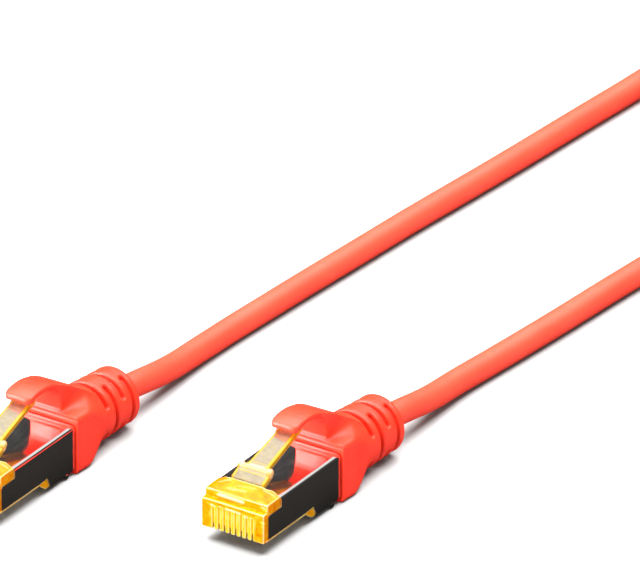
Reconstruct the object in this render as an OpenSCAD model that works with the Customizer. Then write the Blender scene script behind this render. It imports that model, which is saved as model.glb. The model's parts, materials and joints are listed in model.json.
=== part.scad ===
// Shielded network patch cable: two eight-contact modular plugs with latch,
// soft bend-relief boots with a latch hood, and a slim round cord between them.
// The cord runs straight on the table and its spare length is wound in a tied coil.

/* [Plug] */
// Width across the shielded plug
plug_w = 11.7; // [11.5:0.05:11.9]
// Height from the contact side to the top of the shield
plug_h = 6.25; // [6.1:0.05:6.4]
// Length of the plug from the nose to its hidden rear end
plug_l = 23.0; // [22.6:0.1:23.2]
// Height of the low step at the front of the nose
nose_h = 5.0; // [4.8:0.05:5.1]
// Sheet thickness of the shield
shield_t = 0.25; // [0.2:0.05:0.3]
// Distance between neighbouring contacts
contact_pitch = 1.02; // [1.0:0.01:1.04]
// Thickness of one contact blade
blade_t = 0.35; // [0.3:0.05:0.4]

/* [Latch] */
// Width of the latch at its shoulders
latch_wide = 6.02; // [5.8:0.02:6.1]
// Width of the latch tail
latch_narrow = 3.25; // [3.1:0.05:3.4]
// Thickness of the latch
latch_t = 0.9; // [0.8:0.05:0.95]
// Where the tail ends, from the nose
latch_end = 16.6; // [15.8:0.1:16.8]

/* [Boot] */
// Width of the boot at its front
boot_w = 12.6; // [12.4:0.1:12.8]
// Where the boot starts, from the nose
boot_x = 21.35; // [21.2:0.05:21.6]
// Height of the top of the boot above the contact side
boot_top = 7.6; // [7.4:0.1:7.8]
// How far the boot reaches below the contact side
boot_drop = 2.25; // [2.2:0.05:2.3]
// Radius of the ribbed sleeve where it starts
sleeve_r = 4.8; // [4.6:0.1:4.8]
// Radius of the ribbed sleeve at its end
sleeve_end_r = 4.5; // [4.3:0.1:4.6]
// Length from the bend of the boot to its end
sleeve_l = 16.75; // [16.5:0.05:17]
// Angle by which the boot follows the cord sideways
sleeve_bend = 4.7; // [0:0.1:6]
// Width of the latch hood
hood_w = 5.0; // [4.6:0.1:5.4]

/* [Cord] */
// Outer diameter of the cord
cord_d = 4.15; // [4:0.05:4.2]
// Mean radius of the coil of spare cord
coil_r = 23.15; // [23:0.05:23.3]
// Height of the coil
coil_h = 8.3; // [8.3:0.05:8.4]

/* [Hidden] */

$fn = 48;
e = 0.01;
cord_r = cord_d / 2;
coil_hw = 3.5 * cord_r;                   // half the width of the wound bundle
half_w = plug_w / 2;
body_hw = half_w - shield_t - 0.02;       // housing under the shield
lip_hw = half_w - 0.13;                   // housing where it shows
shield_in_top = plug_h - shield_t;
rear_drop = 1.3;                          // the rear of the plug is this much deeper than the nose
wire_z = 3.5;
wire_r = 0.31;
foil_r = 0.64;
axis_z = sleeve_r - boot_drop;            // cord axis above the contact side
bend_x = 22.4;                            // the sleeve turns here
latch_pin = [2.6, 6.5];                   // x, z of the latch's bending line
hood_pin = [23.1, 10.75];                 // x, z of the hood's bending line
knuckle_r = 1.15;
step_x = 4.8;                             // rear of the raised block behind the nose

// The two plugs lie side by side, both pointing along -X
place_a = [-12.3, -19.65, boot_drop];
place_b = [-27.1, 19.65, boot_drop];
coil_c = [164.7, -18.45];

// Cord routes on the table, from the end of each boot to the coil
route_a = [
  [26.794, -21.022, 4.8], [30.7, -21.3, 4.66], [34.7, -21.4, 4.1], [38.7, -21.35, 3.4],
  [42.7, -21.15, 2.8], [48, -21, 2.35], [56, -21.5, 2.08], [65, -22.35, 2.08],
  [76, -23.25, 2.08], [87, -24, 2.08], [96, -24.7, 2.08], [106, -25.8, 2.08],
  [116, -28.4, 2.3], [126, -32.6, 3.2], [136, -37.6, 4.6], [147.5, -42.1, 5.7]
];
route_b = [
  [11.994, 18.278, 4.8], [15.9, 18, 4.66], [19.9, 17.9, 4.1], [23.9, 18, 3.4],
  [27.9, 18.2, 2.8], [33, 18.45, 2.35], [41, 18.4, 2.08], [53, 17.7, 2.08],
  [65, 16.9, 2.08], [77, 16, 2.08], [89, 15.15, 2.08], [101, 14.1, 2.08],
  [113, 13.05, 2.08], [125, 12.15, 2.08], [138, 11.2, 2.08], [154, 10.15, 2.08]
];

// ---- helpers ----
module at_a() { translate(place_a) children(); }
module at_b() { translate(place_b) children(); }

// Moves a piece that stands on +Z onto the axis of the boot's sleeve
module on_sleeve() {
  translate([bend_x, 0, axis_z]) rotate([0, 0, -sleeve_bend]) rotate([0, 90, 0]) children();
}

// Extrudes an outline given in x and z to width w, centred across the plug
module across(w) {
  rotate([90, 0, 0]) translate([0, 0, -w / 2]) linear_extrude(height = w) children();
}

// Rounded rectangle of half width hw from z0 to z1, with circles in its corners
module round_rect(hw, z0, z1, r) {
  union() {
    translate([-hw, z0 + r]) square([2 * hw, z1 - z0 - 2 * r]);
    translate([-hw + r, z0]) square([2 * (hw - r), z1 - z0]);
    for (sx = [-1, 1]) for (z = [z0 + r, z1 - r]) translate([sx * (hw - r), z]) circle(r = r);
  }
}

// Extrudes an outline given in y and z along the plug, from x0 to x1
module along(x0, x1) {
  translate([x0, 0, 0]) rotate([90, 0, 90]) linear_extrude(height = x1 - x0) children();
}

module rod(p, q, r, n = 48) {
  d = q - p;
  l = norm(d);
  translate(p) rotate([0, acos(d[2] / l), atan2(d[1], d[0])]) cylinder(r = r, h = l, $fn = n);
}

// ---- swept tube ----
function unit(v) = v / norm(v);
function heading(p, i) =
  i == 0 ? unit([cos(sleeve_bend), -sin(sleeve_bend), 0]) :
  i == len(p) - 1 ? unit(p[i] - p[i - 1]) : unit(p[i + 1] - p[i - 1]);
function ring(p, i, r, n) =
  let (t = heading(p, i), s = unit(cross([0, 0, 1], t)), u = cross(t, s))
  [for (k = [0:n - 1]) p[i] + r * (cos(360 * k / n) * s + sin(360 * k / n) * u)];
module tube(p, r, n) {
  m = len(p);
  polyhedron(
    points = [for (i = [0:m - 1]) for (q = ring(p, i, r, n)) q],
    faces = concat(
      [[for (k = [0:n - 1]) n - 1 - k]],
      [for (i = [0:m - 2]) for (k = [0:n - 1]) [i * n + k, i * n + (k + 1) % n, (i + 1) * n + k]],
      [for (i = [0:m - 2]) for (k = [0:n - 1]) [i * n + (k + 1) % n, (i + 1) * n + (k + 1) % n, (i + 1) * n + k]],
      [[for (k = [0:n - 1]) (m - 1) * n + k]]
    )
  );
}

// ---- plug ----
module housing() {
  difference() {
    union() {
      // low front step
      along(0, 1.2) translate([-lip_hw, 0]) square([2 * lip_hw, nose_h]);
      // raised block that carries the latch
      along(1.0, step_x) translate([-lip_hw, 4.5]) square([2 * lip_hw, plug_h - 4.5]);
      // body inside the shield
      along(1.1, plug_l) round_rect(body_hw, 0, shield_in_top - 0.02, 0.3);
      // foot that shows below the shield
      along(0.9, 11.45) translate([-lip_hw, 0]) square([2 * lip_hw, 0.38]);
      // slope down to the deeper rear
      across(2 * body_hw) polygon([[11.3, 0.35], [11.3, 0.02], [11.45, 0.02], [13.3, -rear_drop + 0.05], [14.4, -rear_drop + 0.05], [14.4, 0.5], [11.3, 0.5]]);
      along(14.3, plug_l) round_rect(body_hw, -rear_drop + 0.02, 3, 0.3);
      // ramp that shows in the notch of the shield
      across(2 * lip_hw) polygon([[11.2, 0.04], [11.5, 0.04], [13.3, -rear_drop + 0.05], [14.38, -rear_drop + 0.05], [13.75, 0.48], [11.2, 0.16]]);
    }
    // one slot for each contact, open to the front and below
    for (i = [0:7]) translate([-1, (i - 3.5) * contact_pitch - 0.25, -1]) cube([6.5, 0.5, 4.42]);
    // channels for the conductors
    for (i = [0:7]) translate([1.8, (i - 3.5) * contact_pitch, wire_z]) rotate([0, 90, 0]) cylinder(r = wire_r + 0.04, h = 8.5, $fn = 24);
    // chamber for the load bar and the wires
    translate([9.7, -4.6, 0.8]) cube([20, 9.2, 4.1]);
    // relief and seat under the latch
    translate([1.9, -3.2, plug_h - 0.35]) cube([step_x, 6.4, 2]);
  }
}

module latch() {
  translate([latch_pin[0], latch_wide / 2, latch_pin[1]]) rotate([90, 0, 0]) cylinder(r = 0.45, h = latch_wide, $fn = 24);
  across(latch_wide) polygon([[2.35, 6.86], [4.0, 7.6], [6.75, 8.8], [7.1, 8.0], [3.5, 6.45], [2.6, 6.3]]);
  across(latch_narrow) polygon([[6.3, 8.55], [6.75, 8.8], [latch_end, 8.8 + (latch_end - 6.75) * 0.3],
    [latch_end + 0.25, 8.8 + (latch_end - 6.75) * 0.3 - latch_t * 0.957], [7.0, 7.94], [6.4, 7.72]]);
}

module contacts() {
  for (i = [0:7]) translate([0, (i - 3.5) * contact_pitch, 0]) across(blade_t)
    polygon([[0.9, 0.45], [5.1, 0.45], [5.3, 0.7], [5.3, 3.0], [4.6, 3.3], [4.2, 3.0], [3.6, 3.3], [3.2, 3.0], [2.6, 3.3], [2.2, 2.4], [0.6, 2.0], [0.6, 0.8]]);
}

module shield() {
  intersection() {
    along(0.5, plug_l) difference() {
      round_rect(half_w, -rear_drop - shield_t, plug_h, 0.5);
      round_rect(half_w - shield_t, -rear_drop, shield_in_top, 0.25);
    }
    across(20) polygon([[1.12, 0.4], [11.4, 0.4], [13.75, 0.55], [14.45, -1.2], [14.5, -3], [plug_l, -3],
      [plug_l, 8], [step_x + 0.05, 8], [step_x + 0.05, 4.5], [1.12, 4.45]]);
  }
}

module load_bar() {
  difference() {
    translate([9.8, -4.4, 2.4]) cube([4.6, 8.8, 2.2]);
    for (i = [0:7]) translate([9, (i - 3.5) * contact_pitch, wire_z]) rotate([0, 90, 0]) cylinder(r = wire_r + 0.04, h = 7, $fn = 24);
  }
}

function pair_y(k) = (2 * k - 3) * 1.1;
function pair_z(k) = axis_z + (k == 0 || k == 3 ? -0.5 : 0.5);

module conductors() {
  for (i = [0:7]) {
    y = (i - 3.5) * contact_pitch;
    k = floor(i / 2);
    q = [18.4, pair_y(k) + (i % 2 == 0 ? -0.33 : 0.33), pair_z(k)];
    union() {
      rod([1.9, y, wire_z], [14.9, y, wire_z], wire_r, 12);
      rod([14.75, y, wire_z], q, wire_r, 12);
    }
  }
}

module pair_foils() {
  for (k = [0:3])
    rod([18.7, pair_y(k), pair_z(k)], [24.2, (k < 2 ? -0.68 : 0.68), axis_z + (k == 0 || k == 3 ? -0.68 : 0.68)], foil_r);
}

module braid() {
  on_sleeve() translate([0, 0, 2.4]) difference() {
    cylinder(r = 2.5, h = 3.4);
    translate([0, 0, -1]) cylinder(r = cord_r + 0.005, h = 6);
  }
}

module crimp_collar() {
  difference() {
    union() {
      on_sleeve() translate([0, 0, 2.6]) cylinder(r = 2.95, h = 3);
      // tail that joins the collar to the shield
      translate([plug_l + 0.02, -1.5, axis_z - 2.9]) cube([4, 3, 0.35]);
    }
    on_sleeve() translate([0, 0, -1]) cylinder(r = 2.505, h = 9);
  }
}

module jacket_end() {
  on_sleeve() translate([0, 0, 2.4]) cylinder(r = cord_r, h = sleeve_l - 2.4);
}

// ---- boot ----
rib = [9.2, 11.3, 13.4, 15.5];            // distance of each groove from the bend
module groove(s, top) {
  on_sleeve() translate([0, 0, s - 0.42]) difference() {
    cylinder(r = 6, h = 0.84);
    translate([0, 0, -1]) cylinder(r = 4.0, h = 3);
    if (top) translate([-2.05, -7, -1]) cube([4.1, 14, 3]);
    else translate([-7, -1.9, -1]) cube([14, 3.8, 3]);
  }
}

module boot() {
  difference() {
    union() {
      along(boot_x, 26.2) round_rect(boot_w / 2, -boot_drop, boot_top, 1.2);
      // waist between the square front and the round sleeve
      hull() {
        along(24.6, 24.8) round_rect(boot_w / 2 - 0.15, -boot_drop + 0.1, boot_top - 0.15, 1.2, $fn = 32);
        on_sleeve() translate([0, 0, 9.6]) cylinder(r = sleeve_r - 0.2, h = 0.2, $fn = 32);
      }
      on_sleeve() translate([0, 0, 8.5]) cylinder(r1 = sleeve_r, r2 = sleeve_end_r, h = sleeve_l - 8.5);
      // raised back of the latch hood
      across(6) polygon([[boot_x + 0.05, 6.6], [boot_x + 0.05, 9.7], [22.0, 10.1], [22.0, 10.7], [24.3, 11.32], [26.7, 10.05], [29.5, 8.1], [31, 7.1], [31, 5.5], [24, 5.5]]);
    }
    // seat of the hood's bending line
    translate([hood_pin[0], 4, hood_pin[1]]) rotate([90, 0, 0]) cylinder(r = knuckle_r + 0.05, h = 8);
    // socket for the rear of the plug
    along(boot_x - 1, plug_l + 0.1) round_rect(half_w + 0.03, -rear_drop - shield_t - 0.03, plug_h + 0.03, 0.53);
    // room for the pairs and the collar
    on_sleeve() translate([0, 0, 0.4]) cylinder(r = 4.0, h = 5.6);
    // bore for the cord
    on_sleeve() translate([0, 0, 5]) cylinder(r = cord_r + 0.02, h = 20);
    for (i = [0:3]) groove(rib[i], i % 2 == 0);
  }
}

module latch_hood() {
  translate([hood_pin[0], hood_w / 2, hood_pin[1]]) rotate([90, 0, 0]) cylinder(r = knuckle_r, h = hood_w);
  across(hood_w) polygon([[13.9, 11.85], [13.9, 12.65], [14.2, 13.0], [16, 13.5], [18.5, 13.4], [21, 12.8],
    [23.1, 11.9], [23.1, 10.75], [22.0, 10.75], [21.6, 11.2], [20, 12.0], [18, 12.45], [16, 12.5], [15.1, 12.3], [14.6, 11.85]]);
}

// ---- coil and tie ----
module cord_coil() {
  color("tomato") translate([coil_c[0], coil_c[1], 0]) rotate_extrude($fn = 96)
    translate([coil_r, 0]) round_rect(coil_hw, 0, coil_h, 2);
}

module cable_tie() {
  color("dimgray") translate([coil_c[0] + coil_r, coil_c[1], 0]) {
    difference() {
      across(4.6) round_rect(coil_hw + 0.7, 0, coil_h + 0.9, 2.4);
      across(6) round_rect(coil_hw + 0.02, 0.45, coil_h + 0.05, 2);
    }
    translate([-3, -3.2, coil_h + 0.88]) cube([5, 6.4, 2.2]);
  }
}

// ---- the pieces at the first end ----
module plug_housing_a() { color([1, 0.72, 0.05]) at_a() housing(); }
module plug_latch_a() { color([0.98, 0.85, 0.45]) at_a() latch(); }
module contacts_a() { color([0.85, 0.65, 0.2]) at_a() contacts(); }
module shield_a() { color([0.3, 0.3, 0.3]) at_a() shield(); }
module load_bar_a() { color([0.9, 0.9, 0.85]) at_a() load_bar(); }
module conductors_a() { color([0.3, 0.45, 0.75]) at_a() conductors(); }
module pair_foils_a() { color([0.8, 0.8, 0.82]) at_a() pair_foils(); }
module braid_a() { color([0.6, 0.6, 0.6]) at_a() braid(); }
module crimp_collar_a() { color([0.5, 0.5, 0.5]) at_a() crimp_collar(); }
module jacket_end_a() { color("tomato") at_a() jacket_end(); }
module boot_a() { color([0.98, 0.3, 0.2]) at_a() boot(); }
module latch_hood_a() { color([1, 0.42, 0.33]) at_a() latch_hood(); }

// ---- the pieces at the second end ----
module plug_housing_b() { color([1, 0.72, 0.05]) at_b() housing(); }
module plug_latch_b() { color([0.98, 0.85, 0.45]) at_b() latch(); }
module contacts_b() { color([0.85, 0.65, 0.2]) at_b() contacts(); }
module shield_b() { color([0.3, 0.3, 0.3]) at_b() shield(); }
module load_bar_b() { color([0.9, 0.9, 0.85]) at_b() load_bar(); }
module conductors_b() { color([0.3, 0.45, 0.75]) at_b() conductors(); }
module pair_foils_b() { color([0.8, 0.8, 0.82]) at_b() pair_foils(); }
module braid_b() { color([0.6, 0.6, 0.6]) at_b() braid(); }
module crimp_collar_b() { color([0.5, 0.5, 0.5]) at_b() crimp_collar(); }
module jacket_end_b() { color("tomato") at_b() jacket_end(); }
module boot_b() { color([0.98, 0.3, 0.2]) at_b() boot(); }
module latch_hood_b() { color([1, 0.42, 0.33]) at_b() latch_hood(); }

// ---- the cord ----
module cord_lead_a() { color("tomato") tube(route_a, cord_r, 10); }
module cord_lead_b() { color("tomato") tube(route_b, cord_r, 10); }

plug_housing_a();
plug_latch_a();
contacts_a();
shield_a();
load_bar_a();
conductors_a();
pair_foils_a();
braid_a();
crimp_collar_a();
jacket_end_a();
boot_a();
latch_hood_a();
plug_housing_b();
plug_latch_b();
contacts_b();
shield_b();
load_bar_b();
conductors_b();
pair_foils_b();
braid_b();
crimp_collar_b();
jacket_end_b();
boot_b();
latch_hood_b();
cord_lead_a();
cord_lead_b();
cord_coil();
cable_tie();
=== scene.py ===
import bpy, bmesh, json, math
import numpy as np
from mathutils import Vector, Matrix

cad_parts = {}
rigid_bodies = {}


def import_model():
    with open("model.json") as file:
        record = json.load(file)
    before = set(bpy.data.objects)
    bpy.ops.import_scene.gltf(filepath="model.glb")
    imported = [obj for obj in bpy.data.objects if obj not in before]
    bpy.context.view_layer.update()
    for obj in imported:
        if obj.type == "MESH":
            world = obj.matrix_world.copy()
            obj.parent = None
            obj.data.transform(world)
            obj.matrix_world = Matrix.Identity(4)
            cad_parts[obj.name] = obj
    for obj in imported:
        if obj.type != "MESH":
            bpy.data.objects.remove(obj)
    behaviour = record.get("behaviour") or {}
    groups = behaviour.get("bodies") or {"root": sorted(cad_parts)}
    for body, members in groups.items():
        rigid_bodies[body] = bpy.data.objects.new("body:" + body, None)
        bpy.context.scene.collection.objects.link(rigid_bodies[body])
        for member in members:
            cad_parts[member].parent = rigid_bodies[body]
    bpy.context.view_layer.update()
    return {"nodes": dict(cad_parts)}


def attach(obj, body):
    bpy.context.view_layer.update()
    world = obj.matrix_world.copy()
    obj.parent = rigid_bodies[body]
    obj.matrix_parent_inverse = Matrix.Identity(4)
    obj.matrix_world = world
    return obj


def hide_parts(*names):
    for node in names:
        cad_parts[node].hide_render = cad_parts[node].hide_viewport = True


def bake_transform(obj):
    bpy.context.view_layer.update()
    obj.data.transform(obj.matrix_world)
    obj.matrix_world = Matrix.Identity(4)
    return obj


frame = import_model()
nodes = frame["nodes"]
ROOT = "cable"
MM = 0.001
ENDS = {"a": np.array([-12.3, -19.65, 2.25]), "b": np.array([-27.1, 19.65, 2.25])}
CORD_D = 4.15
BEND_X, AXIS_Z, BEND = 22.4, 2.55, math.radians(4.7)
COIL_C = np.array([164.7, -18.45])


def link(obj):
    bpy.context.scene.collection.objects.link(obj)
    return obj


def smooth(obj):
    obj.data.polygons.foreach_set("use_smooth", np.ones(len(obj.data.polygons), bool))
    obj.data.update()
    return obj


def mesh_from(name, verts, faces, shade=True):
    """Vertices in metres in the row frame."""
    me = bpy.data.meshes.new(name)
    me.from_pydata([tuple(v) for v in verts], [], [tuple(int(i) for i in f) for f in faces])
    me.validate()
    ob = link(bpy.data.objects.new(name, me))
    return smooth(ob) if shade else ob


def at_end(verts, end):
    return (np.asarray(verts, float) + ENDS[end]) * MM


def sstep(x, a, b):
    t = np.clip((x - a) / (b - a), 0, 1)
    return t * t * (3 - 2 * t)


def mix(a, b, t):
    return a + (b - a) * t


# ---------------------------------------------------------------- camera
AZ, EL, DIST, SCALE = math.radians(-56.36), math.radians(28.33), 3.0, 6.529
back = Vector((math.sin(AZ) * math.cos(EL), -math.cos(AZ) * math.cos(EL), math.sin(EL)))
right = Vector((math.cos(AZ), math.sin(AZ), 0))
up = back.cross(right)
origin_a = Vector(ENDS["a"]) * MM
cam_data = bpy.data.cameras.new("camera")
cam = link(bpy.data.objects.new("camera", cam_data))
cam.location = origin_a + back * DIST
aim = origin_a + (right * 13.492 + up * 36.984) * MM
look = (aim - cam.location).normalized()
cx = look.cross(Vector((0, 0, 1))).normalized()
cy = cx.cross(look)
cam.matrix_world = Matrix(((cx.x, cy.x, -look.x, cam.location.x), (cx.y, cy.y, -look.y, cam.location.y),
                           (cx.z, cy.z, -look.z, cam.location.z), (0, 0, 0, 1)))
cam_data.sensor_fit = "HORIZONTAL"
cam_data.sensor_width = 36
cam_data.lens = SCALE * DIST * 1000 * 36 / 640
cam_data.clip_start, cam_data.clip_end = 0.1, 20
bpy.context.scene.camera = cam
bpy.context.scene.view_settings.view_transform = "Standard"

# ---------------------------------------------------------------- cord
ROUTE_A = [
    [26.794, -21.022, 4.8], [30.7, -21.3, 4.66], [34.7, -21.4, 4.1], [38.7, -21.35, 3.4],
    [42.7, -21.15, 2.8], [48, -21, 2.35], [56, -21.5, 2.08], [65, -22.35, 2.08],
    [76, -23.25, 2.08], [87, -24, 2.08], [96, -24.7, 2.08], [106, -25.8, 2.08],
    [116, -28.4, 2.3], [126, -32.6, 3.2], [136, -37.6, 4.6], [147.5, -42.1, 5.7]]
ROUTE_B = [
    [11.994, 18.278, 4.8], [15.9, 18, 4.66], [19.9, 17.9, 4.1], [23.9, 18, 3.4],
    [27.9, 18.2, 2.8], [33, 18.45, 2.35], [41, 18.4, 2.08], [53, 17.7, 2.08],
    [65, 16.9, 2.08], [77, 16, 2.08], [89, 15.15, 2.08], [101, 14.1, 2.08],
    [113, 13.05, 2.08], [125, 12.15, 2.08], [138, 11.2, 2.08], [154, 10.15, 2.08]]
SMALL_Z = CORD_D / 2 + 0.005


def coil_points():
    """The wound spare length: an upper layer that winds in, then a lower layer that winds out."""
    total, turn_in = 1620.0, 700.0
    th = np.arange(0, total + 1, 7.5)
    pitch = CORD_D * 1.004
    r_up = 26.3 - pitch * th / 360
    r_low = 28.35 - pitch * (total - th) / 360
    t = sstep(th, turn_in - 80, turn_in + 20)
    r = mix(r_up, r_low, t)
    z = mix(SMALL_Z + CORD_D * 1.004, SMALL_Z, t)
    off = (th - 90 + 180) % 360 - 180
    z = z + 0.9 * np.exp(-((off / 17.0) ** 2))
    ang = np.radians(th - 90)
    return np.stack([COIL_C[0] + r * np.cos(ang), COIL_C[1] + r * np.sin(ang), z], 1)


def spline(points, step):
    """A smooth curve through the points, sampled about every step mm."""
    p = np.asarray(points, float)
    s = np.concatenate([[0], np.cumsum(np.linalg.norm(np.diff(p, axis=0), axis=1))])
    n = len(p)
    h = np.diff(s)
    a = np.zeros((n, n))
    rhs = np.zeros((n, 3))
    a[0, 0] = a[-1, -1] = 1
    for i in range(1, n - 1):
        a[i, i - 1], a[i, i], a[i, i + 1] = h[i - 1], 2 * (h[i - 1] + h[i]), h[i]
        rhs[i] = 6 * ((p[i + 1] - p[i]) / h[i] - (p[i] - p[i - 1]) / h[i - 1])
    m = np.linalg.solve(a, rhs)
    u = np.linspace(0, s[-1], int(round(s[-1] / step)) + 1)
    k = np.clip(np.searchsorted(s, u, side="right") - 1, 0, n - 2)
    x0, x1, hk = (u - s[k])[:, None], (s[k + 1] - u)[:, None], h[k][:, None]
    return (m[k] * x1**3 + m[k + 1] * x0**3) / (6 * hk) + (p[k] / hk - m[k] * hk / 6) * x1 + (p[k + 1] / hk - m[k + 1] * hk / 6) * x0


coil_line = coil_points()
cord_route = np.concatenate([np.array(ROUTE_A), coil_line, np.array(ROUTE_B)[::-1]])
cord_line = spline(cord_route, 1.6)
cord_line[:, 2] = np.maximum(cord_line[:, 2], SMALL_Z)
cord_curve = bpy.data.curves.new("cord", "CURVE")
cord_curve.dimensions = "3D"
cord_curve.bevel_depth = CORD_D / 2 * MM
cord_curve.bevel_resolution = 6
cord_curve.use_fill_caps = True
sp = cord_curve.splines.new("POLY")
sp.points.add(len(cord_line) - 1)
sp.points.foreach_set("co", np.concatenate([cord_line * MM, np.ones((len(cord_line), 1))], 1).ravel())
sp.use_smooth = True
cord = link(bpy.data.objects.new("cord", cord_curve))
cord_length = float(np.linalg.norm(np.diff(cord_line, axis=0), axis=1).sum()) * MM
print("cord length", round(cord_length, 4))


# ---------------------------------------------------------------- shaders
def material(name, color, rough, metal=0.0, **extra):
    m = bpy.data.materials.new(name)
    m.use_nodes = True
    m.diffuse_color = (*color, 1)
    b = m.node_tree.nodes["Principled BSDF"]
    b.inputs["Base Color"].default_value = (*color, 1)
    b.inputs["Roughness"].default_value = rough
    b.inputs["Metallic"].default_value = metal
    for k, v in extra.items():
        b.inputs[k.replace("_", " ")].default_value = v
    return m


def nd(m, kind, **props):
    n = m.node_tree.nodes.new("ShaderNode" + kind)
    for k, v in props.items():
        if k.startswith("in_"):
            n.inputs[k[3:].replace("_", " ")].default_value = v
        else:
            setattr(n, k, v)
    return n


def wire(m, a, b):
    m.node_tree.links.new(a, b)


def bsdf(m):
    return m.node_tree.nodes["Principled BSDF"]


def coords(m, scale=(1, 1, 1), offset=(0, 0, 0)):
    """Object coordinates in millimetres, then stretched."""
    t = nd(m, "TexCoord")
    mp = nd(m, "Mapping")
    mp.inputs["Scale"].default_value = tuple(1000 * s for s in scale)
    mp.inputs["Location"].default_value = offset
    wire(m, t.outputs["Object"], mp.inputs["Vector"])
    return mp.outputs["Vector"]


def noise(m, vec, scale, detail=3, rough=0.5):
    n = nd(m, "TexNoise", in_Scale=scale, in_Detail=detail, in_Roughness=rough)
    wire(m, vec, n.inputs["Vector"])
    return n.outputs["Fac"]


def ramp(m, fac, stops):
    r = nd(m, "ValToRGB")
    el = r.color_ramp.elements
    while len(el) < len(stops):
        el.new(0.5)
    for e, (p, c) in zip(el, stops):
        e.position = p
        e.color = (*c, 1) if len(c) == 3 else c
    wire(m, fac, r.inputs["Fac"])
    return r.outputs["Color"]


def maprange(m, fac, a, b, c, d):
    r = nd(m, "MapRange")
    for i, v in zip(("From Min", "From Max", "To Min", "To Max"), (a, b, c, d)):
        r.inputs[i].default_value = v
    wire(m, fac, r.inputs["Value"])
    return r.outputs["Result"]


def bump(m, height, strength, distance_mm, normal=None):
    b = nd(m, "Bump", in_Strength=strength, in_Distance=distance_mm * MM)
    wire(m, height, b.inputs["Height"])
    if normal is not None:
        wire(m, normal, b.inputs["Normal"])
    return b.outputs["Normal"]


def soft_plastic(name, deep, light, rough, grain):
    m = material(name, deep, rough)
    v = coords(m)
    big = noise(m, v, 0.12, 3)
    col = ramp(m, big, [(0.3, deep), (0.7, light)])
    wire(m, col, bsdf(m).inputs["Base Color"])
    wire(m, maprange(m, noise(m, v, 0.8, 4), 0.3, 0.7, rough - 0.05, rough + 0.06), bsdf(m).inputs["Roughness"])
    wire(m, bump(m, noise(m, v, grain, 2), 0.25, 0.03), bsdf(m).inputs["Normal"])
    bsdf(m).inputs["Subsurface Weight"].default_value = 0.12
    bsdf(m).inputs["Subsurface Radius"].default_value = (1.0, 0.25, 0.12)
    bsdf(m).inputs["Subsurface Scale"].default_value = 0.0012
    bsdf(m).inputs["IOR"].default_value = 1.5
    return m


def quiet_bounce(m, color):
    """Light that this surface throws onto its surroundings is almost neutral, so the table stays white."""
    out = m.node_tree.nodes["Material Output"]
    src = out.inputs["Surface"].links[0].from_socket
    lp = nd(m, "LightPath")
    df = nd(m, "BsdfDiffuse")
    df.inputs["Color"].default_value = (*color, 1)
    ms = nd(m, "MixShader")
    wire(m, lp.outputs["Is Diffuse Ray"], ms.inputs[0])
    wire(m, src, ms.inputs[1])
    wire(m, df.outputs[0], ms.inputs[2])
    wire(m, ms.outputs[0], out.inputs["Surface"])
    return m


M_BOOT = quiet_bounce(soft_plastic("boot_pvc", (0.88, 0.026, 0.009), (0.92, 0.033, 0.012), 0.42, 6), (0.28, 0.065, 0.05))
M_JACKET = quiet_bounce(soft_plastic("jacket_pvc", (0.88, 0.05, 0.025), (0.92, 0.06, 0.031), 0.38, 9), (0.28, 0.065, 0.05))


def polygon_sdf(px, pz, poly):
    """Signed distance to a closed polygon, negative inside."""
    poly = np.asarray(poly, float)
    d = np.full(px.shape, 1e9)
    s = np.ones(px.shape, bool)
    n = len(poly)
    for i in range(n):
        a, b = poly[i], poly[i - 1]
        ex, ez = b - a
        wx, wz = px - a[0], pz - a[1]
        t = np.clip((wx * ex + wz * ez) / (ex * ex + ez * ez), 0, 1)
        dx, dz = wx - ex * t, wz - ez * t
        d = np.minimum(d, dx * dx + dz * dz)
        c1, c2, c3 = pz >= a[1], pz < b[1], ex * wz > ez * wx
        flip = (c1 & c2 & c3) | (~c1 & ~c2 & ~c3)
        s ^= flip
    return np.where(s, 1, -1) * np.sqrt(d)


def smin(a, b, k):
    h = np.clip(0.5 + 0.5 * (b - a) / k, 0, 1)
    return mix(b, a, h) - k * h * (1 - h)


def smax(a, b, k):
    return -smin(-a, -b, k)


def rbox2(y, z, hy, hz, r):
    qy, qz = np.abs(y) - (hy - r), np.abs(z) - (hz - r)
    return np.sqrt(np.maximum(qy, 0) ** 2 + np.maximum(qz, 0) ** 2) + np.minimum(np.maximum(qy, qz), 0) - r


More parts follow.
